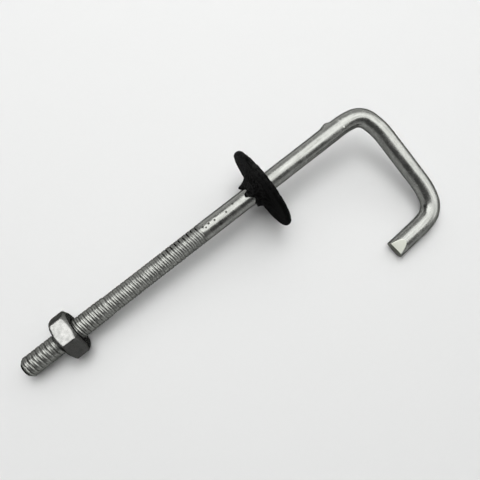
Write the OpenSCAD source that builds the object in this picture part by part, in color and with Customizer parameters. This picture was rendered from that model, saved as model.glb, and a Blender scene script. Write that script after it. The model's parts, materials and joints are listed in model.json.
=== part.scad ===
// Roofing hook bolt lying on a flat surface: one bent and threaded wire,
// a hexagon nut on the thread and a sealing washer pushed along the shank.
// Lengths along the bolt are measured from the threaded tip.

/* [Wire] */
// Diameter of the plain wire
wire_d = 5; // [4.2:0.1:6]
// Straight length from the tip to the start of the first bend
shank_len = 98.6; // [92:0.2:150]

/* [Thread] */
// Length of the rolled thread
thread_len = 54.4; // [40:0.2:64]
// How much wider than the wire the crests stand at the tip
tip_swell = 0.5; // [0.4:0.05:0.9]
// Length of the widest stretch, at the tip
tip_zone = 10.4; // [6:0.2:14]
// How much wider than the wire the crests stand in the middle stretch
mid_swell = 0.4; // [0.2:0.05:0.4]
// Length of the middle stretch
mid_zone = 14; // [8:0.5:20]
// How much wider than the wire the crests stand in the last stretch
end_swell = 0.1; // [0.05:0.05:0.2]
// Length of the slope from one stretch to the next
swell_slope = 0.6; // [0.3:0.1:1.2]
// Length of the chamfer at the tip, cut at 45 degrees
tip_chamfer = 1; // [0.4:0.1:1.6]

/* [Hook] */
// Centre-line radius of the gentle lead-in and run-out of each bend
ease_r = 19; // [12:0.5:26]
// Inside radius of the tight part of the first bend
first_inside_r = 2.15; // [0.5:0.05:5]
// Angle of the first bend's lead-in, in degrees
first_lead_in = 13; // [0.5:0.5:18]
// Angle of the first bend's tight part, in degrees
first_tight = 57; // [45:0.5:66]
// Angle of the first bend's run-out, in degrees
first_run_out = 19; // [0.5:0.5:24]
// Straight length of the leg between the bends
leg_len = 14.4; // [8:0.1:40]
// Inside radius of the tight part of the second bend
second_inside_r = 2.85; // [0.5:0.05:5]
// Angle of the second bend's lead-in, in degrees
second_lead_in = 16.5; // [0.5:0.5:22]
// Angle of the second bend's tight part, in degrees
second_tight = 59.5; // [48:0.5:66]
// Angle of the second bend's run-out, in degrees
second_run_out = 11; // [0.5:0.5:16]
// How much the wire thins, on the radius, at each step into a bend
bend_thin = 0.03; // [0.02:0.01:0.06]
// Straight length of the return, up to its sheared end
return_len = 8.4; // [5:0.1:14]
// Length of the slanted shear mark on top of the end
shear_len = 3.2; // [2:0.1:4.5]
// Depth of the shear mark at the end face
shear_drop = 0.85; // [0.4:0.05:1.6]
// Length of the rounded-off underside of the end
under_len = 1.2; // [0.5:0.1:2]
// Height of the rounded-off underside at the end face
under_rise = 0.7; // [0.3:0.1:1.4]

/* [Zinc drip] */
// Place of the frozen drip along the shank
drip_pos = 96.2; // [86:0.2:97]
// Radius of the drip's cap
drip_cap_r = 2; // [1.2:0.1:2.2]
// Height of the drip above the wire
drip_h = 0.5; // [0.1:0.05:0.6]
// Angle of the drip from the top, away from the leg, in degrees
drip_side = 88; // [0:1:180]

/* [Nut] */
// Width of the nut across its flats
nut_af = 10.7; // [9:0.1:13]
// Thickness of the nut
nut_h = 4.9; // [3.5:0.1:6.5]
// Distance from the tip to the nut
nut_pos = 10.9; // [4:0.1:40]
// Diameter of the flat ring inside the corner chamfers
nut_face_d = 9.9; // [8.4:0.1:10.2]
// Angle of the corner chamfers to the end faces, in degrees
nut_chamfer = 30; // [15:1:40]
// Depth of the countersink at each end of the bore
nut_sink = 0.45; // [0.1:0.05:0.8]
// Clearance between the bore and the widest crests, on the radius
nut_clear = 0.05; // [0.02:0.01:0.1]

/* [Washer] */
// Diameter of the sealing washer
washer_d = 22.9; // [18:0.1:28]
// Thickness of the washer at its rounded rim
washer_t = 1.6; // [1:0.1:2.4]
// Distance from the tip to the middle of the rim
washer_pos = 73; // [68:0.2:90]
// Diameter of the raised collar where it leaves the disc
collar_base_d = 11.6; // [9:0.1:14]
// Length of the collar
collar_len = 4.3; // [2.5:0.1:6]
// Wall of the collar at its torn edge
collar_edge = 0.35; // [0.2:0.05:0.8]
// Clearance between the washer's bore and the wire, on the radius
washer_clear = 0.05; // [0.02:0.01:0.1]

/* [Hidden] */
$fn = 96;

// Spare length that carries a cut clear of the surface
spare = 1;
// Length by which a link of the wire runs on into a thinner one
lap = 0.2;
// Sides of the hexagon nut
nut_sides = 6;
// Degrees between the points of the washer's round rim
rim_step = 15;
// Points taken along each link of the wire to find its reach
path_steps = 24;
// Rounds in which the roll of the resting hook settles
settle_rounds = 8;

wire_r = wire_d / 2;
tip_r = wire_r + tip_swell / 2;
mid_r = wire_r + mid_swell / 2;
end_r = wire_r + end_swell / 2;
tip_face_r = tip_r - tip_chamfer;
mid_end = tip_zone + mid_zone;

nut_bore_r = tip_r + nut_clear;
nut_corner_r = nut_af / 2 / cos(180 / nut_sides);
washer_bore_r = wire_r + washer_clear;
rim_r = washer_t / 2;
collar_end = -rim_r - collar_len;

// Tears round the collar's edge: angle from the top towards the leg, width, depth
tears = [[-30, 1.9, 1.2], [40, 2.4, 1.4], [125, 2.6, 1.7], [-125, 2.8, 1.5], [178, 1.6, 1]];

// The bent wire as a chain: [0, length, 0] is a straight run, and an arc is
// [radius, angle, steps], with the steps by which it is thinner than the straight wire
chain = [
    [0, shank_len, 0],
    [ease_r, first_lead_in, 1],
    [wire_r + first_inside_r, first_tight, 2],
    [ease_r, first_run_out, 1],
    [0, leg_len, 0],
    [ease_r, second_lead_in, 1],
    [wire_r + second_inside_r, second_tight, 2],
    [ease_r, second_run_out, 1],
    [0, return_len, 0]
];
last_link = len(chain) - 1;

// A thicker link laps over a thinner neighbour
function lap_onto(i, neighbour) =
    neighbour <= last_link && chain[neighbour][2] > chain[i][2] ? lap : 0;

// Place and heading [along the shank, out along the leg, degrees] after one link
function after_run(p, length) = [p.x + length * cos(p.z), p.y + length * sin(p.z), p.z];
function after_arc(p, radius, angle) = [
    p.x + radius * (sin(p.z + angle) - sin(p.z)),
    p.y + radius * (cos(p.z) - cos(p.z + angle)),
    p.z + angle
];
function after(p, link, share = 1) =
    link[0] == 0 ? after_run(p, link[1] * share) : after_arc(p, link[0], link[1] * share);
function start_of(i) = i == 0 ? [0, 0, 0] : after(start_of(i - 1), chain[i - 1]);
hook_end = start_of(last_link + 1);

// At rest the nut stands on the tip edge of one flat and the washer on its rim,
// so the shank climbs towards the hook
nut_edge = nut_pos + (nut_af - nut_face_d) / 2 * tan(nut_chamfer);
rest_run = washer_pos - nut_edge;
rest_rise = washer_d / 2 - rim_r - nut_af / 2;
climb = atan2(rest_rise, rest_run) + asin(rim_r / norm([rest_run, rest_rise]));
axis_h = nut_af / 2 * cos(climb) - nut_edge * sin(climb);

// The hook rolls over until the underside of its sheared end touches down
foot = after_run(hook_end, -under_len);
function foot_slope(roll) = cos(foot.z) * sin(climb) - sin(foot.z) * sin(roll) * cos(climb);
function foot_drop(roll) = axis_h + foot.x * sin(climb) - wire_r * sqrt(1 - pow(foot_slope(roll), 2));
function settle(roll, rounds) =
    rounds < 1 ? roll : settle(asin(foot_drop(roll) / (foot.y * cos(climb))), rounds - 1);
roll = settle(0, settle_rounds);

// Reach of the resting bolt, which centres it over the origin
chain_points = [
    for (i = [0 : last_link])
        for (k = [0 : path_steps])
            after(start_of(i), chain[i], k / path_steps)
];
reach_x = max([for (p = chain_points) p.x * cos(climb) + p.y * sin(climb) * sin(roll)]) + wire_r;
reach_back = -tip_face_r * sin(climb);
reach_leg = max([for (p = chain_points) p.y * cos(roll)]) + wire_r;

// Places what is drawn along the bolt's own axis into the resting pose
module at_rest() {
    translate([-(reach_x + reach_back) / 2, (reach_leg - washer_d / 2) / 2, axis_h])
        rotate([0, -climb, 0])
            children();
}

// Turns a revolved shape so that its axis runs along the bolt
module along_bolt(pos) {
    translate([pos, 0, 0])
        rotate([0, 90, 0])
            children();
}

// Carries a shape to a place on the bent wire, heading along it
module on_wire(p) {
    translate([p.x, -p.y, 0])
        rotate([0, 0, -p.z])
            children();
}

// Straight part: chamfered tip, three stretches of thread and the plain shank
module straight_wire() {
    along_bolt(0)
        rotate_extrude()
            polygon([
                [0, 0],
                [tip_face_r, 0],
                [tip_r, tip_chamfer],
                [tip_r, tip_zone],
                [mid_r, tip_zone + swell_slope],
                [mid_r, mid_end],
                [end_r, mid_end + swell_slope],
                [end_r, thread_len - swell_slope],
                [wire_r, thread_len],
                [wire_r, shank_len + lap],
                [0, shank_len + lap]
            ]);
}

// One link of the hook, straight or bent towards the leg's side
module wire_link(i) {
    link = chain[i];
    tube_r = wire_r - bend_thin * link[2];
    before = lap_onto(i, i - 1);
    beyond = lap_onto(i, i + 1);
    on_wire(start_of(i))
        if (link[0] == 0) {
            along_bolt(-before)
                cylinder(r = tube_r, h = before + link[1] + beyond);
        } else {
            turn = 180 / PI / link[0];
            translate([0, -link[0], 0])
                rotate([0, 0, 90 - link[1] - beyond * turn])
                    rotate_extrude(angle = link[1] + (before + beyond) * turn)
                        translate([link[0], 0])
                            circle(r = tube_r);
        }
}

// Block that is cut away at the end of the return, sloping down to the end face
module end_cut(length, drop) {
    translate([0, 0, wire_r - drop])
        rotate([0, atan2(drop, length), 0])
            translate([-2 * length, -wire_d, 0])
                cube([2 * length + wire_d, 2 * wire_d, wire_d]);
}

// The return's end as the shears left it
module hook_links() {
    difference() {
        union()
            for (i = [1 : last_link])
                wire_link(i);
        on_wire(hook_end) {
            end_cut(shear_len, shear_drop);
            mirror([0, 0, 1])
                end_cut(under_len, under_rise);
        }
    }
}

// Frozen drip of zinc on the shank
module zinc_drip() {
    rotate([-drip_side, 0, 0])
        translate([drip_pos, 0, wire_r + drip_h - drip_cap_r])
            sphere(r = drip_cap_r);
}

module hook_bolt() {
    color([0.66, 0.67, 0.67])
        at_rest()
            rotate([roll, 0, 0]) {
                straight_wire();
                hook_links();
                zinc_drip();
            }
}

// Space inside both corner chamfers of the nut
module nut_chamfers() {
    outer_r = nut_corner_r + spare;
    slope = (outer_r - nut_face_d / 2) * tan(nut_chamfer);
    rotate_extrude()
        polygon([
            [0, 0],
            [nut_face_d / 2, 0],
            [outer_r, slope],
            [outer_r, nut_h - slope],
            [nut_face_d / 2, nut_h],
            [0, nut_h]
        ]);
}

// Countersunk bore of the nut
module nut_bore() {
    sink_r = nut_bore_r + nut_sink;
    translate([0, 0, -spare])
        cylinder(r = nut_bore_r, h = nut_h + 2 * spare);
    translate([0, 0, -spare])
        cylinder(r1 = sink_r + spare, r2 = nut_bore_r, h = nut_sink + spare);
    translate([0, 0, nut_h - nut_sink])
        cylinder(r1 = nut_bore_r, r2 = sink_r + spare, h = nut_sink + spare);
}

module hex_nut() {
    color([0.60, 0.61, 0.61])
        at_rest()
            along_bolt(nut_pos)
                difference() {
                    intersection() {
                        rotate([0, 0, 180 / nut_sides])
                            cylinder(r = nut_corner_r, h = nut_h, $fn = nut_sides);
                        nut_chamfers();
                    }
                    nut_bore();
                }
}

// Section of the washer: round rim, flat face towards the hook, collar towards the tip
module washer_section() {
    rim_centre = washer_d / 2 - rim_r;
    rim_count = ceil(180 / rim_step);
    rim_angles = [for (k = [0 : rim_count]) 180 * k / rim_count];
    polygon([
        [washer_bore_r, rim_r],
        for (a = rim_angles) [rim_centre + rim_r * sin(a), rim_r * cos(a)],
        [collar_base_d / 2, -rim_r],
        [washer_bore_r + collar_edge, collar_end],
        [washer_bore_r, collar_end]
    ]);
}

// Wedge torn out of the collar, as wide as given at the collar's edge
module tear(width, depth) {
    outer_half = width / 2 * (depth + spare) / depth;
    linear_extrude(height = collar_base_d)
        polygon([
            [collar_end - spare, -outer_half],
            [collar_end + depth, 0],
            [collar_end - spare, outer_half]
        ]);
}

module sealing_washer() {
    color([0.06, 0.06, 0.06])
        at_rest()
            translate([washer_pos, 0, 0])
                difference() {
                    along_bolt(0)
                        rotate_extrude()
                            washer_section();
                    for (t = tears)
                        rotate([t[0], 0, 0])
                            tear(t[1], t[2]);
                }
}

hook_bolt();
hex_nut();
sealing_washer();
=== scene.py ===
import json
import math

import bmesh
import bpy
import numpy as np
from mathutils import Matrix, Vector, noise


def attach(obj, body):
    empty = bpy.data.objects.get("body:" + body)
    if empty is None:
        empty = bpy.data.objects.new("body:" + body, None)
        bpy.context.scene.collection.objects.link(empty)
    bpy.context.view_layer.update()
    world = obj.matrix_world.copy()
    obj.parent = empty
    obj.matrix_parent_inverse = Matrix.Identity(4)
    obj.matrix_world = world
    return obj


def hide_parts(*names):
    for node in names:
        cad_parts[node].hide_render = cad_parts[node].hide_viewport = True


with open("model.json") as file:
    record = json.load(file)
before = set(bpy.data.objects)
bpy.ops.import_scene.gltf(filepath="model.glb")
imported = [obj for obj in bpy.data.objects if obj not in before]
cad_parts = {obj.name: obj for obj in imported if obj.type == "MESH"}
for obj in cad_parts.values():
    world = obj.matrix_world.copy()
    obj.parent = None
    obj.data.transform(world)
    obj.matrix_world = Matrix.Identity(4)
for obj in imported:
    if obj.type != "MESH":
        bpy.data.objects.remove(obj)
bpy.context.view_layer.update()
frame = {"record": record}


# Hook bolt: one length of drawn steel wire, dipped in zinc. A thread is rolled on one end, and
# the other is bent twice into a square hook and cropped with shears, which bit a bright slanted
# facet into the top of the end. A drip of zinc froze on the shank just before the first bend.
MM = 0.001
WIRE_R = 2.5 * MM
SHANK = 98.6 * MM
EASE_R = 19 * MM
FIRST_R = 4.65 * MM
LEG = 14.4 * MM
SECOND_R = 5.35 * MM
RETURN = 8.4 * MM
# The wire's course from its tip: radius and angle of each bend, or 0 and length of a straight stretch
WIRE_LINKS = [
    (0, SHANK),
    (EASE_R, math.radians(13)),
    (FIRST_R, math.radians(57)),
    (EASE_R, math.radians(19)),
    (0, LEG),
    (EASE_R, math.radians(16.5)),
    (SECOND_R, math.radians(59.5)),
    (EASE_R, math.radians(11)),
    (0, RETURN),
]
# Rings of the wire's skin lie closer where it has more detail: where each stretch ends, and its step
WIRE_COLUMNS = 88
PITTED_TO = 65 * MM
PITTED_STEP = 0.16 * MM
PLAIN_TO = 93 * MM
PLAIN_STEP = 0.5 * MM
DRIP_TO = 99 * MM
DRIP_STEP = 0.2 * MM
BEND_STEP = 0.38 * MM
CROPPED = 4.4 * MM
CROPPED_RINGS = 52
# Rings that close the ends, as shares of the wire's radius, and how many at the tip are painted dark as
# shade
END_RINGS = [0.1, 0.45, 0.8, 0.94]
DARK_TIP_RINGS = 8

PITCH = 1.27 * MM
PITCH_STEPS = 16
THREAD_END = 54.4 * MM
# Where the thread starts to fade before its end, and where it is gone
THREAD_FADE = (THREAD_END - 0.6 * MM, THREAD_END + 0.3 * MM)
# Along the run: radius of the crests, depth of the grooves, and depth of the seam rolled into each crest
CREST_RUN = [0, 1 * MM, 10.4 * MM, 11 * MM, 24.4 * MM, 25 * MM, 53.8 * MM, 54.4 * MM]
CREST_R = [1.75 * MM, 2.74 * MM, 2.74 * MM, 2.69 * MM, 2.69 * MM, 2.54 * MM, 2.54 * MM, WIRE_R]
GROOVE_RUN = [0, 1.4 * MM, 11 * MM, 25 * MM, 53 * MM, 54.6 * MM]
GROOVE_DEPTH = [0.08 * MM, 0.28 * MM, 0.2 * MM, 0.17 * MM, 0.17 * MM, 0]
SEAM_DEPTH = [0, 0.05 * MM, 0.06 * MM, 0.09 * MM, 0.12 * MM, 0]
# How rough the rolled thread, the plain wire and the cropped end are
THREAD_LUMPS = 0.03 * MM
THREAD_GRAIN = 0.025 * MM
PLAIN_LUMPS = 0.005 * MM
PLAIN_RUNS = 0.006 * MM
BITE_LUMPS = 0.02 * MM
END_LUMPS = 0.05 * MM
# Notches in the last turns, deepened, with painted shade in their roots: first and last run, then degrees
# from the top away from the leg
NOTCH_RUN = (39 * MM, 54.2 * MM)
NOTCH_FADE = 6 * MM
NOTCH_ANGLE = 62
NOTCH_SPREAD = 28
NOTCH_DEPTH = 0.14 * MM
# The last turns were rolled shallow, and their colour is darker
DARKENED_RUN = (43 * MM, 50 * MM)
END_DARKENING = 0.35

# The shears' bite in the top of the end, and the burr that they rolled up under it
BITE_LEN = 3.2 * MM
BITE_DROP = 0.85 * MM
BITE_TILT = math.radians(12)
BITE_EDGE = (-0.02 * MM, 0.06 * MM)
UNDER_LEN = 1.2 * MM
UNDER_RISE = 0.7 * MM

# Dents in the zinc past the thread: run, degrees from the top away from the leg, radius, depth
PITS = [
    (54.9 * MM, 30, 0.3 * MM, 0.1 * MM),
    (55.5 * MM, 13, 0.26 * MM, 0.1 * MM),
    (56.6 * MM, 24, 0.34 * MM, 0.08 * MM),
    (58.3 * MM, 18, 0.3 * MM, 0.12 * MM),
    (59 * MM, -22, 0.22 * MM, 0.06 * MM),
    (61.8 * MM, 13, 0.28 * MM, 0.1 * MM),
    (64.2 * MM, 31, 0.2 * MM, 0.06 * MM),
]
# The drip: run, degrees from the top away from the leg, radius, height
DRIPS = [
    (96.2 * MM, 88, 0.95 * MM, 0.5 * MM),
    (95.2 * MM, 99, 0.55 * MM, 0.2 * MM),
]

mounts = {m["name"]: m for m in frame["record"]["mounts"]}
TIP_TO_MOUNT = 5.7 * MM
along_way = -Vector(mounts["thread_tip"]["axis"]).normalized()
tip = Vector(mounts["thread_tip"]["pos_m"]) - along_way * TIP_TO_MOUNT
leg_way = Vector(mounts["hook_seat"]["pos_m"]) - tip
leg_way = (leg_way - along_way * leg_way.dot(along_way)).normalized()
over_way = leg_way.cross(along_way)


def smooth_noise(points, size, shift=0.0):
    """Smooth noise from -1 to 1 at each point of an array, with lumps of about the given size."""
    flat = points.reshape(-1, 3) / size + shift
    return np.array([noise.noise(p) for p in flat]).reshape(points.shape[:-1])


def smooth_step(low, high, value):
    share = np.clip((value - low) / (high - low), 0, 1)
    return share * share * (3 - 2 * share)


def centre_line(run):
    """Place along the shank, place out along the leg and heading of the bent wire at each run."""
    along, out, heading = np.zeros((3, len(run)))
    start = x = y = turned = 0.0
    for radius, amount in WIRE_LINKS:
        length = radius * amount if radius else amount
        here = run >= start - 1e-9
        past = np.append(run[here] - start, length)
        if radius:
            angle = turned + past / radius
            xs = x + radius * (np.sin(angle) - math.sin(turned))
            ys = y + radius * (math.cos(turned) - np.cos(angle))
        else:
            angle = np.full(len(past), turned)
            xs = x + past * math.cos(turned)
            ys = y + past * math.sin(turned)
        along[here], out[here], heading[here] = xs[:-1], ys[:-1], angle[:-1]
        x, y, turned = xs[-1], ys[-1], angle[-1]
        start += length
    return along, out, heading


def skin(name, rings, looped):
    """A mesh object over rings of points, closed round each ring, and end to end if looped."""
    count, around = rings.shape[:2]
    index = np.arange(count * around).reshape(count, around)
    near = index if looped else index[:-1]
    far = np.roll(index, -1, axis=0) if looped else index[1:]
    quads = np.stack([near, np.roll(near, -1, 1), np.roll(far, -1, 1), far], axis=-1)
    faces = quads.reshape(-1, 4).tolist()
    if not looped:
        faces += [index[0].tolist(), index[-1].tolist()]
    mesh = bpy.data.meshes.new(name)
    mesh.from_pydata(rings.reshape(-1, 3).tolist(), [], faces)
    shape = bmesh.new()
    shape.from_mesh(mesh)
    bmesh.ops.recalc_face_normals(shape, faces=shape.faces)
    shape.to_mesh(mesh)
    shape.free()
    mesh.shade_smooth()
    piece = bpy.data.objects.new(name, mesh)
    bpy.context.scene.collection.objects.link(piece)
    return piece


def store(piece, name, values):
    """Keeps one number or one vector for each point of a mesh, for its material to read."""
    kind = "FLOAT_VECTOR" if values.shape[-1] == 3 and values.ndim == 3 else "FLOAT"
    layer = piece.data.attributes.new(name, kind, "POINT")
    field = "vector" if kind == "FLOAT_VECTOR" else "value"
    layer.data.foreach_set(field, values.astype(np.float32).ravel())


def spot(run, angle, at_run, at_angle, radius):
    """How near each point of the wire's skin is to a spot: 1 at its middle, falling to 0."""
    round_way = (angle - math.radians(at_angle) + math.pi) % (2 * math.pi) - math.pi
    apart = np.hypot(run[:, None] - at_run, WIRE_R * round_way[None, :])
    return np.exp(-((apart / radius) ** 2))


wire_end = sum(radius * amount if radius else amount for radius, amount in WIRE_LINKS)
wire_run = np.concatenate([
    np.arange(0, THREAD_END + PITCH, PITCH / PITCH_STEPS),
    np.arange(THREAD_END + PITCH, PITTED_TO, PITTED_STEP),
    np.arange(PITTED_TO, PLAIN_TO, PLAIN_STEP),
    np.arange(PLAIN_TO, DRIP_TO, DRIP_STEP),
    np.arange(DRIP_TO, wire_end - CROPPED, BEND_STEP),
    np.linspace(wire_end - CROPPED, wire_end, CROPPED_RINGS),
])
wire_angle = np.linspace(0, 2 * math.pi, WIRE_COLUMNS, endpoint=False)

straight = np.stack(np.broadcast_arrays(
    wire_run[:, None] / MM,
    WIRE_R / MM * np.cos(wire_angle)[None, :],
    WIRE_R / MM * np.sin(wire_angle)[None, :],
), axis=-1)
lumps = smooth_noise(straight, 1.5)
grain = smooth_noise(straight, 0.55, 7.3)
runs_of_zinc = smooth_noise(straight * [0.12, 1, 1], 0.9, 3.1)

phase = (wire_run[:, None] / PITCH + wire_angle[None, :] / (2 * math.pi)) % 1
from_crest = np.abs(2 * phase - 1)
ridge = 1 - smooth_step(0.55, 1.0, from_crest)
seam = np.exp(-((from_crest / 0.17) ** 2))
groove = np.interp(wire_run, GROOVE_RUN, GROOVE_DEPTH)[:, None] * (0.92 + 0.3 * lumps)
fold = np.interp(wire_run, GROOVE_RUN, SEAM_DEPTH)[:, None] * (0.8 + 0.6 * grain)
threaded = 1 - smooth_step(*THREAD_FADE, wire_run)[:, None]
radius = np.interp(wire_run, CREST_RUN, CREST_R)[:, None] - groove * (1 - ridge) - fold * seam
radius = radius + threaded * (THREAD_LUMPS * (lumps - 1) + THREAD_GRAIN * grain)
radius = radius + (1 - threaded) * (PLAIN_LUMPS * lumps + PLAIN_RUNS * runs_of_zinc)
notch_way = np.exp(-(((np.degrees(wire_angle) - NOTCH_ANGLE + 180) % 360 - 180) / NOTCH_SPREAD) ** 4)
notch_run = smooth_step(NOTCH_RUN[0], NOTCH_RUN[0] + NOTCH_FADE, wire_run) * (wire_run < NOTCH_RUN[1])
# Painted shade: the notches' roots are painted near black, and the pits below are dark spots in the zinc
notches_and_pits = notch_run[:, None] * notch_way[None, :] * (1 - ridge)
notches_and_pits = notches_and_pits * smooth_step(-0.4, 0.15, lumps + 0.5 * grain)
radius -= NOTCH_DEPTH * notches_and_pits
for at_run, at_angle, pit_r, depth in PITS:
    near = spot(wire_run, wire_angle, at_run, at_angle, pit_r)
    radius -= depth * near
    notches_and_pits = np.maximum(notches_and_pits, near)
for at_run, at_angle, drip_r, height in DRIPS:
    radius += height * spot(wire_run, wire_angle, at_run, at_angle, drip_r)

to_end = (wire_end - wire_run)[:, None]
bite_top = WIRE_R - BITE_DROP * (1 - to_end / BITE_LEN) + BITE_LUMPS * lumps
under_top = WIRE_R - UNDER_RISE * (1 - to_end / UNDER_LEN)
height = radius * np.cos(wire_angle)
width = radius * np.sin(wire_angle)
bite_rise = height * math.cos(BITE_TILT) - width * math.sin(BITE_TILT)
bite_side = height * math.sin(BITE_TILT) + width * math.cos(BITE_TILT)
bitten = smooth_step(*BITE_EDGE, bite_rise - bite_top)
bite_rise = np.minimum(bite_rise, bite_top)
height = bite_rise * math.cos(BITE_TILT) + bite_side * math.sin(BITE_TILT)
width = bite_side * math.cos(BITE_TILT) - bite_rise * math.sin(BITE_TILT)
height = np.maximum(height, -under_top)


def with_ends(values, shrink):
    """Adds the rings that close both ends of the wire, shrunk towards its middle or repeated."""
    scale = END_RINGS if shrink else [1] * len(END_RINGS)
    first = [values[0] * s for s in scale]
    last = [values[-1] * s for s in reversed(scale)]
    return np.array([*first, *values, *last])


end_count = len(END_RINGS)
along, out, heading = centre_line(wire_run)
along, out, heading = (with_ends(v, False)[:, None, None] for v in (along, out, heading))
height, width = with_ends(height, True), with_ends(width, True)
straight = with_ends(straight, False)
straight[:, :, 1] = height / MM
straight[:, :, 2] = width / MM
end_relief = smooth_noise(straight, 0.5, 11.0)
end_relief[end_count:-end_count] = 0
forward_way = np.cos(heading) * np.array(along_way) + np.sin(heading) * np.array(leg_way)
outer_way = np.sin(heading) * np.array(along_way) - np.cos(heading) * np.array(leg_way)
wire_rings = (
    np.array(tip) + along * np.array(along_way) + out * np.array(leg_way)
    + height[:, :, None] * np.array(over_way) + width[:, :, None] * outer_way
    + END_LUMPS * end_relief[:, :, None] * forward_way
)
hook_wire = skin("zinc_hook_wire", wire_rings, looped=False)
hook_wire.data.set_sharp_from_angle(angle=math.radians(40))
store(hook_wire, "unbent", straight)
end_darkening = END_DARKENING * smooth_step(*DARKENED_RUN, wire_run)[:, None]
# Painted shade: the thread's roots and the seams in its crests are darkened in colour, and the last turns
# more
root_shade_and_end_darkening = threaded * (1 - ridge + 0.6 * seam + end_darkening) * (0.9 + 0.5 * lumps)
store(hook_wire, "groove", with_ends(root_shade_and_end_darkening, False))
store(hook_wire, "threaded", with_ends(np.broadcast_to(threaded, radius.shape), False))
store(hook_wire, "notches_and_pits", with_ends(notches_and_pits, False))
bitten = with_ends(bitten, False)
bitten[-end_count:] = 0.6
store(hook_wire, "bitten", bitten)
# Painted shade: the tip's end face and its first rings are painted near black
painted_tip_shade = np.zeros_like(bitten)
painted_tip_shade[:end_count + DARK_TIP_RINGS] = 1
store(hook_wire, "painted_tip_shade", painted_tip_shade)


class Finish:
    """A node material under construction, with short calls for the nodes that the finishes share."""

    def __init__(self, name):
        self.material = bpy.data.materials.new(name)
        self.material.use_nodes = True
        self.tree = self.material.node_tree
        self.shader = self.tree.nodes["Principled BSDF"]

    def join(self, source, socket):
        self.tree.links.new(source, socket)

    def kept(self, name, vector=False):
        """What store() keeps for each point of the mesh."""
        node = self.tree.nodes.new("ShaderNodeAttribute")
        node.attribute_name = name
        return node.outputs["Vector" if vector else "Fac"]

    def place(self):
        """The object's own coordinates, in metres."""
        return self.tree.nodes.new("ShaderNodeTexCoord").outputs["Object"]

    def stretched(self, vector, scale):
        node = self.tree.nodes.new("ShaderNodeMapping")
        node.inputs["Scale"].default_value = scale
        self.join(vector, node.inputs["Vector"])
        return node.outputs["Vector"]

    def noise(self, vector, scale, detail=3, roughness=0.55):
        node = self.tree.nodes.new("ShaderNodeTexNoise")
        node.inputs["Scale"].default_value = scale
        node.inputs["Detail"].default_value = detail
        node.inputs["Roughness"].default_value = roughness
        self.join(vector, node.inputs["Vector"])
        return node.outputs["Fac"]

    def span(self, value, low, high, to_low, to_high):
        """Maps low..high onto to_low..to_high, held at both ends."""
        node = self.tree.nodes.new("ShaderNodeMapRange")
        for name, number in zip(("From Min", "From Max", "To Min", "To Max"), (low, high, to_low, to_high)):
            node.inputs[name].default_value = number
        self.join(value, node.inputs["Value"])
        return node.outputs["Result"]

    def reckon(self, operation, a, b):
        node = self.tree.nodes.new("ShaderNodeMath")
        node.operation = operation
        for value, socket in zip((a, b), node.inputs):
            if isinstance(value, (int, float)):
                socket.default_value = value
            else:
                self.join(value, socket)
        return node.outputs["Value"]

    def mix(self, share, a, b):
        """A colour between a and b, each a colour or another node's output, by the node's colour sockets."""
        node = self.tree.nodes.new("ShaderNodeMix")
        node.data_type = "RGBA"
        self.join(share, node.inputs["Factor"])
        for value, socket in zip((a, b), (node.inputs[6], node.inputs[7])):
            if isinstance(value, tuple):
                socket.default_value = (*value, 1)
            else:
                self.join(value, socket)
        return node.outputs[2]

    def bump(self, value, distance, strength=1.0):
        node = self.tree.nodes.new("ShaderNodeBump")
        node.inputs["Distance"].default_value = distance
        node.inputs["Strength"].default_value = strength
        self.join(value, node.inputs["Height"])
        return node.outputs["Normal"]


ZINC_DULL = (0.16, 0.163, 0.153)
ZINC_BRIGHT = (0.25, 0.254, 0.24)
ZINC_ROOT = (0.07, 0.071, 0.067)
THREAD_DULL = (0.15, 0.153, 0.143)
THREAD_BRIGHT = (0.27, 0.275, 0.258)
NOTCH_SHADE_AND_PIT = (0.02, 0.02, 0.018)
STEEL_BITE = (0.41, 0.42, 0.375)
TIP_SHADE = (0.03, 0.03, 0.029)
# How bright the zinc is where it is seen edge on
ZINC_EDGE = (0.15, 0.15, 0.15)

zinc = Finish("zinc_on_drawn_wire")
unbent = zinc.kept("unbent", vector=True)
streaks = zinc.noise(zinc.stretched(unbent, (0.07, 1, 1)), 2.6, detail=4)
blotches = zinc.noise(unbent, 0.55, detail=5)
specks = zinc.noise(unbent, 5.0, detail=2)
tone = zinc.reckon("ADD", zinc.reckon("MULTIPLY", streaks, 0.55), zinc.reckon("MULTIPLY", blotches, 0.45))
share = zinc.span(tone, 0.36, 0.64, 0, 1)
rolled = zinc.kept("threaded")
colour = zinc.mix(share, ZINC_DULL, ZINC_BRIGHT)
colour = zinc.mix(rolled, colour, zinc.mix(share, THREAD_DULL, THREAD_BRIGHT))
# Painted shade in the thread's roots and crest seams, and the darker last turns
colour = zinc.mix(zinc.span(zinc.kept("groove"), 0.15, 1, 0, 0.65), colour, ZINC_ROOT)
colour = zinc.mix(zinc.kept("bitten"), colour, STEEL_BITE)
# Painted shade in the notches' roots, and the dark pits
colour = zinc.mix(zinc.span(zinc.kept("notches_and_pits"), 0.2, 0.65, 0, 1), colour, NOTCH_SHADE_AND_PIT)
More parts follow.
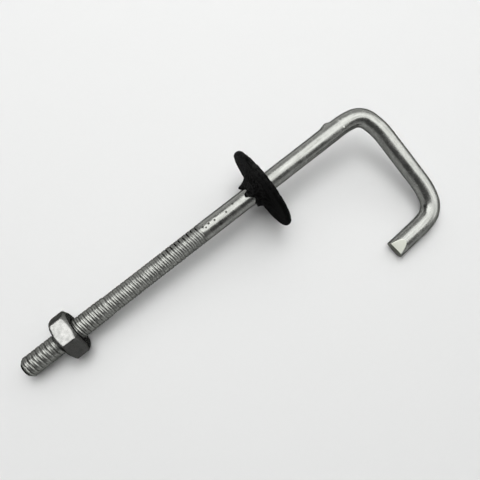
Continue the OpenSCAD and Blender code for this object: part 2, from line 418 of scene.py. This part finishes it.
# Painted shade on the tip's end and first rings
colour = zinc.mix(zinc.kept("painted_tip_shade"), colour, TIP_SHADE)
zinc.join(colour, zinc.shader.inputs["Base Color"])
zinc.shader.inputs["Metallic"].default_value = 1
zinc.shader.inputs["Specular Tint"].default_value = (*ZINC_EDGE, 1)
shine = zinc.span(blotches, 0.35, 0.65, 0.22, 0.3)
shine = zinc.reckon("MAXIMUM", shine, zinc.span(rolled, 0, 1, 0, 0.37))
shine = zinc.reckon("MAXIMUM", shine, zinc.span(zinc.kept("bitten"), 0, 1, 0, 0.55))
zinc.join(shine, zinc.shader.inputs["Roughness"])
relief = zinc.reckon("ADD", streaks, zinc.reckon("MULTIPLY", specks, 0.4))
zinc.join(zinc.bump(relief, 0.02 * MM, 0.3), zinc.shader.inputs["Normal"])
hook_wire.data.materials.append(zinc.material)
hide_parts("hook_bolt")
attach(hook_wire, "bolt")


# Nut: a plain hexagon nut of cold-formed steel, chamfered on both faces and dipped in zinc, which
# lies thick and mottled on its flats. It is spun onto the thread and lies on one of its flats.
NUT_AF = 10.7 * MM
NUT_H = 4.9 * MM
NUT_AT = 10.9 * MM
NUT_FACE_R = 4.8 * MM
NUT_CHAMFER = math.radians(30)
NUT_SINK = 0.45 * MM
NUT_BORE_R = 2.81 * MM
NUT_GROOVE = 0.34 * MM
NUT_EDGE = 0.3 * MM
# How far the hexagon stands off the bore's centre, away from the leg
NUT_OFF = 0.2 * MM
NUT_LUMPS = 0.018 * MM
# Painted shade on the nut's faces: how much of the zinc's own colour is kept on the top flat, then on the
# others in turn towards the leg, and on the ends
FLAT_PAINTED_LIGHT = np.array([1, 0.24, 0.5, 0.6, 0.7, 1])
END_PAINTED_LIGHT = 0.6

upright_way = (Vector((0, 0, 1)) - along_way * along_way.z).normalized()
side_way = along_way.cross(upright_way)


def on_bolt(run, height, width):
    """Points in the frame from their run along the bolt's axis, height and width across it."""
    return (
        np.array(tip) + run[..., None] * np.array(along_way)
        + height[..., None] * np.array(upright_way) + width[..., None] * np.array(side_way)
    )


def soft_min(a, b, blend):
    """The lesser of two sizes, with the corner between them rounded."""
    share = np.clip(0.5 + 0.5 * (b - a) / blend, 0, 1)
    return b * (1 - share) + a * share - blend * share * (1 - share)


half_flat = np.radians([-30, -29.3, -28.5, -27.4, -25.5, -22.5, -18.5, -14, -9, -4.5])
one_flat = np.concatenate([half_flat, [0], -half_flat[:0:-1]])
nut_angle = np.concatenate([one_flat + math.radians(60 * k) for k in range(6)])
flat_number = np.repeat(np.arange(6), len(one_flat))
off_middle = np.tile(np.abs(one_flat), 6)
next_flat = NUT_AF / 2 / np.cos(math.radians(60) - off_middle)
nut_hex = soft_min(NUT_AF / 2 / np.cos(off_middle), next_flat, NUT_EDGE)

edge_steps = np.array([0, 0.06, 0.12, 0.2, 0.3, 0.42, 0.56, 0.72, 0.9, 1.15, 1.45, 1.8, 2.1]) * MM
outside = np.concatenate([edge_steps, [NUT_H / 2], NUT_H - edge_steps[::-1]])
bore_steps = np.arange(NUT_SINK, NUT_H - NUT_SINK, PITCH / PITCH_STEPS)
face_steps = np.linspace(0, 1, 9)[1:]
sink_steps = np.linspace(0, 1, 6)[1:]


def nut_outside(depth):
    chamfer = NUT_FACE_R + np.minimum(depth, NUT_H - depth) / math.tan(NUT_CHAMFER)
    return soft_min(nut_hex, np.full(len(nut_angle), chamfer), NUT_EDGE)


nut_depths, nut_radii = [], []


def nut_ring(depth, radius):
    nut_depths.append(np.full(len(nut_angle), depth))
    nut_radii.append(np.broadcast_to(radius, len(nut_angle)))


for depth in outside:
    nut_ring(depth, nut_outside(depth))
for share in face_steps:
    nut_ring(NUT_H, nut_outside(NUT_H) * (1 - share) + (NUT_BORE_R + NUT_SINK) * share)
for share in sink_steps[:-1]:
    nut_ring(NUT_H - NUT_SINK * share, NUT_BORE_R + NUT_SINK * (1 - share))
for depth in bore_steps[::-1]:
    turn = ((NUT_AT + depth) / PITCH + nut_angle / (2 * math.pi)) % 1
    inside = NUT_BORE_R + NUT_GROOVE * smooth_step(0.85, 0.3, np.abs(2 * turn - 1))
    nut_ring(depth, inside)
for share in sink_steps[-2::-1]:
    nut_ring(NUT_SINK * share, NUT_BORE_R + NUT_SINK * (1 - share))
for share in face_steps[:0:-1]:
    nut_ring(0, nut_outside(0) * (1 - share) + (NUT_BORE_R + NUT_SINK) * share)

nut_depth, nut_radius = np.array(nut_depths), np.array(nut_radii)
nut_points = np.stack([
    nut_depth / MM,
    nut_radius / MM * np.cos(nut_angle),
    nut_radius / MM * np.sin(nut_angle),
], axis=-1)
zinc_lumps = smooth_noise(nut_points, 1.3, 5.0) + 0.6 * smooth_noise(nut_points, 0.6, 9.0)
nut_outer = nut_radius > NUT_FACE_R * 0.98
nut_radius = nut_radius + NUT_LUMPS * zinc_lumps * nut_outer
hexagon = smooth_step(NUT_BORE_R + NUT_SINK, 0.95 * NUT_FACE_R, nut_radius)
nut = skin("zinc_hexagon_nut", on_bolt(
    NUT_AT + nut_depth,
    nut_radius * np.cos(nut_angle),
    nut_radius * np.sin(nut_angle) - NUT_OFF * hexagon,
), looped=True)
nut.data.set_sharp_from_angle(angle=math.radians(35))
store(nut, "nut_place", nut_points)
in_bore = smooth_step(NUT_BORE_R + 0.5 * MM, NUT_BORE_R + 0.1 * MM, nut_radius)
store(nut, "in_bore", in_bore)
# Painted shade: each face of the nut keeps its own share of the zinc's colour
store(nut, "painted_face_light", np.where(nut_outer, FLAT_PAINTED_LIGHT[flat_number], END_PAINTED_LIGHT))

NUT_PAINTED_SHADE = (0.035, 0.035, 0.033)
NUT_DULL = (0.13, 0.131, 0.126)
NUT_BRIGHT = (0.25, 0.25, 0.241)
NUT_BORE = (0.06, 0.06, 0.058)

nut_zinc = Finish("mottled_zinc_on_nut")
nut_place = nut_zinc.kept("nut_place", vector=True)
mottle = nut_zinc.noise(nut_place, 0.9, detail=6, roughness=0.65)
flecks = nut_zinc.noise(nut_place, 3.5, detail=4, roughness=0.6)
tone = nut_zinc.reckon("MULTIPLY", mottle, 0.6)
tone = nut_zinc.reckon("ADD", tone, nut_zinc.reckon("MULTIPLY", flecks, 0.4))
colour = nut_zinc.mix(nut_zinc.span(tone, 0.38, 0.62, 0, 1), NUT_DULL, NUT_BRIGHT)
# Painted shade on the nut's faces, darker where less light falls
colour = nut_zinc.mix(nut_zinc.kept("painted_face_light"), NUT_PAINTED_SHADE, colour)
colour = nut_zinc.mix(nut_zinc.kept("in_bore"), colour, NUT_BORE)
nut_zinc.join(colour, nut_zinc.shader.inputs["Base Color"])
nut_zinc.shader.inputs["Metallic"].default_value = 1
nut_zinc.shader.inputs["Specular Tint"].default_value = (*ZINC_EDGE, 1)
nut_zinc.join(nut_zinc.span(flecks, 0.35, 0.65, 0.26, 0.4), nut_zinc.shader.inputs["Roughness"])
nut_zinc.join(nut_zinc.bump(tone, 0.03 * MM, 0.6), nut_zinc.shader.inputs["Normal"])
nut.data.materials.append(nut_zinc.material)
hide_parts("hex_nut")
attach(nut, "nut")


# Sealing washer: a disc of black bitumen felt, pressed with a blind hump in its middle. The bolt's tip
# was pushed through from the flat side, so the hump is torn into lips that grip the shank.
DISC_R = 11.45 * MM
DISC_T = 1.5 * MM
DISC_AT = 73 * MM
DISC_BORE_R = 2.55 * MM
COLLAR_R = 5.8 * MM
LIP_WALL = 0.4 * MM
# How the collar bows in towards the shank, where 1 is a plain cone
COLLAR_BOW = 0.75
# The torn edge of the collar: degrees from the top towards the leg, reach beyond the disc
TORN_EDGE = [
    (-180, 2.9 * MM), (-150, 3.4 * MM), (-125, 2.6 * MM), (-100, 3.4 * MM), (-80, 4.05 * MM),
    (-66, 3.9 * MM), (-52, 3.1 * MM), (-36, 2.9 * MM), (-16, 3.1 * MM), (-8, 4.2 * MM),
    (4, 4.4 * MM), (12, 4.1 * MM), (22, 3.4 * MM), (36, 2.7 * MM), (50, 2.45 * MM),
    (66, 2.6 * MM), (84, 2.8 * MM), (104, 2.95 * MM), (118, 2.8 * MM), (135, 2.3 * MM),
    (155, 3.1 * MM), (180, 2.9 * MM),
]
# Lips that curl away from the shank: degrees from the top towards the leg, spread in degrees, curl
CURLED_LIPS = [(-80, 16, 0.5 * MM), (104, 15, 0.45 * MM)]
# How far the trimmed rim stands off the bore's centre, towards the leg
RIM_OFF = 0.4 * MM
# How far the rim leans towards the tip on the leg's side, and back on the other, most at the foot
LEAN = 0.4 * MM
# How far coarse lumps and crumbs of felt stand out on the faces, the rim and the lips
FACE_ROUGH = (0.06 * MM, 0.08 * MM)
RIM_ROUGH = (0.12 * MM, 0.05 * MM)
LIP_ROUGH = (0.16 * MM, 0.07 * MM)
RIM_TRIM = 0.05 * MM
LIP_SWELL = 0.05 * MM
DISC_COLUMNS = 224
FLAT_RINGS = 34
RIM_RINGS = 11
BACK_RINGS = 23
COLLAR_RINGS = 22
LIP_RINGS = 4
BORE_RINGS = 14

disc_angle = np.linspace(-math.pi, math.pi, DISC_COLUMNS, endpoint=False)
reach = np.interp(np.degrees(disc_angle), *np.array(TORN_EDGE).T)
half = DISC_T / 2
# The washer's section, ring by ring: place along the bolt, radius, and share of the torn edge's reach
section = []
for r in np.linspace(DISC_BORE_R, DISC_R - half, FLAT_RINGS, endpoint=False):
    section.append((half, r, 0))
for a in np.radians(np.linspace(90, -90, RIM_RINGS)):
    section.append((half * math.sin(a), DISC_R - half + half * math.cos(a), 0))
for r in np.linspace(DISC_R - half, COLLAR_R, BACK_RINGS)[1:]:
    section.append((-half, r, 0))
for share in np.linspace(0, 1, COLLAR_RINGS)[1:]:
    bowed = share ** COLLAR_BOW
    section.append((-half, COLLAR_R + (DISC_BORE_R + LIP_WALL - COLLAR_R) * bowed, share))
for share in np.linspace(0, 1, LIP_RINGS)[1:]:
    section.append((-half, DISC_BORE_R + LIP_WALL * (1 - share), 1))
for share in np.linspace(1, 0, BORE_RINGS)[1:-1]:
    section.append((-half + DISC_T * (1 - share), DISC_BORE_R, share))
section = np.array(section)
disc_run = section[:, :1] - section[:, 2:] * reach[None, :]
disc_radius = np.repeat(section[:, 1:2], DISC_COLUMNS, axis=1)
disc_points = np.stack([
    disc_run / MM,
    disc_radius / MM * np.cos(disc_angle),
    disc_radius / MM * np.sin(disc_angle),
], axis=-1)
coarse = smooth_noise(disc_points, 3.2, 2.0)
crumbs = smooth_noise(disc_points, 0.75, 4.0) + 0.6 * smooth_noise(disc_points, 0.38, 6.0)
free = smooth_step(DISC_BORE_R + 0.05 * MM, DISC_BORE_R + 0.6 * MM, disc_radius)
facing = np.where(section[:, :1] > 0.4 * half, 1.0, -1.0)
disc_run = disc_run + free * facing * (FACE_ROUGH[0] * coarse + FACE_ROUGH[1] * crumbs)
lean = np.sin(disc_angle) * (0.5 * np.cos(disc_angle) - 0.7)
disc_run = disc_run + LEAN * free * lean * disc_radius / DISC_R
outward = smooth_step(0.75 * DISC_R, DISC_R, disc_radius)
disc_radius = disc_radius + outward * (RIM_ROUGH[0] * coarse + RIM_ROUGH[1] * crumbs - RIM_TRIM)
lip_rough = LIP_ROUGH[0] * coarse + LIP_ROUGH[1] * crumbs + LIP_SWELL
disc_radius = disc_radius + section[:, 2:] * free * lip_rough
for at_angle, spread, curl in CURLED_LIPS:
    nearness = np.exp(-(((np.degrees(disc_angle) - at_angle) / spread) ** 2))
    disc_radius = disc_radius + curl * section[:, 2:] ** 3 * nearness
washer = skin("bitumen_washer", on_bolt(
    DISC_AT + disc_run,
    disc_radius * np.cos(disc_angle),
    disc_radius * np.sin(disc_angle) + RIM_OFF * outward,
), looped=True)
washer.data.set_sharp_from_angle(angle=math.radians(60))
store(washer, "felt_place", disc_points)
# Painted shade: the felt's grey fibres fade to black towards the leg's side of the rim
store(washer, "felt_painted_light", smooth_step(0.8, -0.2, np.sin(disc_angle) * disc_radius / DISC_R))

FELT_BLACK = (0.0006, 0.0006, 0.0006)
FELT_GREY = (0.02, 0.02, 0.0197)
FELT_DUST = (0.07, 0.07, 0.069)

felt = Finish("torn_bitumen_felt")
felt_place = felt.kept("felt_place", vector=True)
weave = felt.noise(felt_place, 1.5, detail=6, roughness=0.75)
grit = felt.noise(felt_place, 3.2, detail=3, roughness=0.6)
# Painted shade: the grey of the fibres is held back towards the leg's side of the rim
greyed = felt.span(felt.kept("felt_painted_light"), 0, 1, 0.08, 1)
greyed = felt.reckon("MULTIPLY", felt.span(weave, 0.45, 0.6, 0, 1), greyed)
colour = felt.mix(greyed, FELT_BLACK, FELT_GREY)
colour = felt.mix(felt.span(grit, 0.64, 0.72, 0, 0.8), colour, FELT_DUST)
felt.join(colour, felt.shader.inputs["Base Color"])
felt.join(felt.span(grit, 0.3, 0.7, 0.75, 0.95), felt.shader.inputs["Roughness"])
felt.shader.inputs["Specular IOR Level"].default_value = 0.03
felt.join(felt.bump(felt.reckon("ADD", weave, grit), 0.12 * MM, 0.7), felt.shader.inputs["Normal"])
washer.data.materials.append(felt.material)
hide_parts("sealing_washer")
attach(washer, "washer")


# Table: a round sheet of white card, flat and matt, on which the bolt lies on the edges of its nut and
# washer and on its hook. It is the stage and no part of the object.
TABLE_R = 0.42
TABLE_CORNERS = 128
CARD_WHITE = (0.8, 0.805, 0.8)
CARD_FIBRE = (0.792, 0.797, 0.792)

table_mesh = bpy.data.meshes.new("table")
table_angle = np.linspace(0, 2 * math.pi, TABLE_CORNERS, endpoint=False)
table_rim = [(TABLE_R * math.cos(a), TABLE_R * math.sin(a), 0) for a in table_angle]
table_mesh.from_pydata(table_rim, [], [range(TABLE_CORNERS)])
table = bpy.data.objects.new("table", table_mesh)
bpy.context.scene.collection.objects.link(table)
card = Finish("white_card")
fibres = card.noise(card.place(), 900, detail=2)
card.join(card.mix(fibres, CARD_FIBRE, CARD_WHITE), card.shader.inputs["Base Color"])
card.shader.inputs["Roughness"].default_value = 0.9
card.shader.inputs["Specular IOR Level"].default_value = 0.1
table_mesh.materials.append(card.material)


# Camera: held over the bolt, turned so that the shank runs up and to the right in the picture, and
# leaning towards the far edge of the table.
CAMERA_AT = (-22.255 * MM, -29.825 * MM, 143.193 * MM)
CAMERA_LEAN = math.radians(18.157)
CAMERA_TURN = math.radians(-38.45)
CAMERA_ROLL = math.radians(0.373)
CAMERA_LENS = 42.206

camera_data = bpy.data.cameras.new("camera")
camera_data.lens = CAMERA_LENS
camera_data.clip_start = 5 * MM
camera = bpy.data.objects.new("camera", camera_data)
camera_hold = Matrix.Rotation(CAMERA_TURN, 3, "Z") @ Matrix.Rotation(CAMERA_LEAN, 3, "X")
camera.location = CAMERA_AT
camera.rotation_euler = (camera_hold @ Matrix.Rotation(CAMERA_ROLL, 3, "Z")).to_euler()
bpy.context.scene.collection.objects.link(camera)
bpy.context.scene.camera = camera
bpy.context.scene.view_settings.view_transform = "Standard"


# Light: a soft box overhead and a wider fill from the far side light the table and cast the shadows.
# White sheets hung round the bolt show in its metal alone. The room is dim above its white walls.
# Far and right are as the camera sees the table.
FAR_WAY = Vector((-math.sin(CAMERA_TURN), math.cos(CAMERA_TURN), 0))
RIGHT_WAY = Vector((math.cos(CAMERA_TURN), math.sin(CAMERA_TURN), 0))
UP_WAY = Vector((0, 0, 1))
SHEET_H = 0.45


def over_table(far, right, up):
    return FAR_WAY * far + RIGHT_WAY * right + UP_WAY * up


def sheet(name, middle, face, across, size, brightness, mirrored):
    """A lit sheet of even brightness, given by its middle, the way it faces and its size."""
    light = bpy.data.lights.new(name, "AREA")
    light.shape = "RECTANGLE"
    light.size, light.size_y = size
    light.energy = math.pi * size[0] * size[1] * brightness
    lamp = bpy.data.objects.new(name, light)
    turned = Matrix((across, (-face).cross(across), -face)).transposed().to_4x4()
    lamp.matrix_world = Matrix.Translation(middle) @ turned
    lamp.visible_glossy = mirrored
    lamp.visible_diffuse = not mirrored
    bpy.context.scene.collection.objects.link(lamp)


def overhead(name, near, far, left, right, height, brightness, mirrored):
    """A level sheet over the table, given by its edges."""
    middle = over_table((near + far) / 2, (left + right) / 2, height)
    sheet(name, middle, -UP_WAY, RIGHT_WAY, (right - left, far - near), brightness, mirrored)


overhead(
    "soft_box", near=-0.11, far=0.23, left=-0.19, right=0.14,
    height=0.5, brightness=4.95, mirrored=False,
)
overhead(
    "far_fill", near=0.1, far=0.7, left=-0.45, right=0.6,
    height=0.47, brightness=1.1, mirrored=False,
)
overhead(
    "white_roof", near=-0.15, far=0.4, left=-0.14, right=0.45,
    height=SHEET_H, brightness=3.5, mirrored=True,
)
overhead(
    "bright_roof", near=-0.15, far=0.2, left=-0.46, right=-0.14,
    height=SHEET_H, brightness=4.7, mirrored=True,
)
sheet(
    "right_wall", over_table(far=0.125, right=0.45, up=0.275), face=-RIGHT_WAY, across=FAR_WAY,
    size=(0.55, 0.35), brightness=3.0, mirrored=True,
)
sheet(
    "far_wall", over_table(far=0.4, right=0, up=SHEET_H / 2), face=-FAR_WAY, across=RIGHT_WAY,
    size=(0.9, SHEET_H), brightness=0.8, mirrored=True,
)

ROOM_GREY = (0.15, 0.15, 0.15)
WALL_WHITE = (0.8, 0.8, 0.8)
# How high the room's white walls reach before they fade into the dim room above
WALL_TOP = math.radians(7)
WALL_FADE = math.radians(14)
room = bpy.data.worlds.new("dim_room")
bpy.context.scene.world = room
room.use_nodes = True
room_nodes = room.node_tree.nodes
looked_at = room_nodes.new("ShaderNodeTexCoord")
split = room_nodes.new("ShaderNodeSeparateXYZ")
fade = room_nodes.new("ShaderNodeMapRange")
fade.inputs["From Min"].default_value = math.sin(WALL_TOP)
fade.inputs["From Max"].default_value = math.sin(WALL_FADE)
wall = room_nodes.new("ShaderNodeMix")
wall.data_type = "RGBA"
wall.inputs[6].default_value = (*WALL_WHITE, 1)
wall.inputs[7].default_value = (*ROOM_GREY, 1)
room.node_tree.links.new(looked_at.outputs["Generated"], split.inputs["Vector"])
room.node_tree.links.new(split.outputs["Z"], fade.inputs["Value"])
room.node_tree.links.new(fade.outputs["Result"], wall.inputs["Factor"])
room.node_tree.links.new(wall.outputs[2], room_nodes["Background"].inputs["Color"])
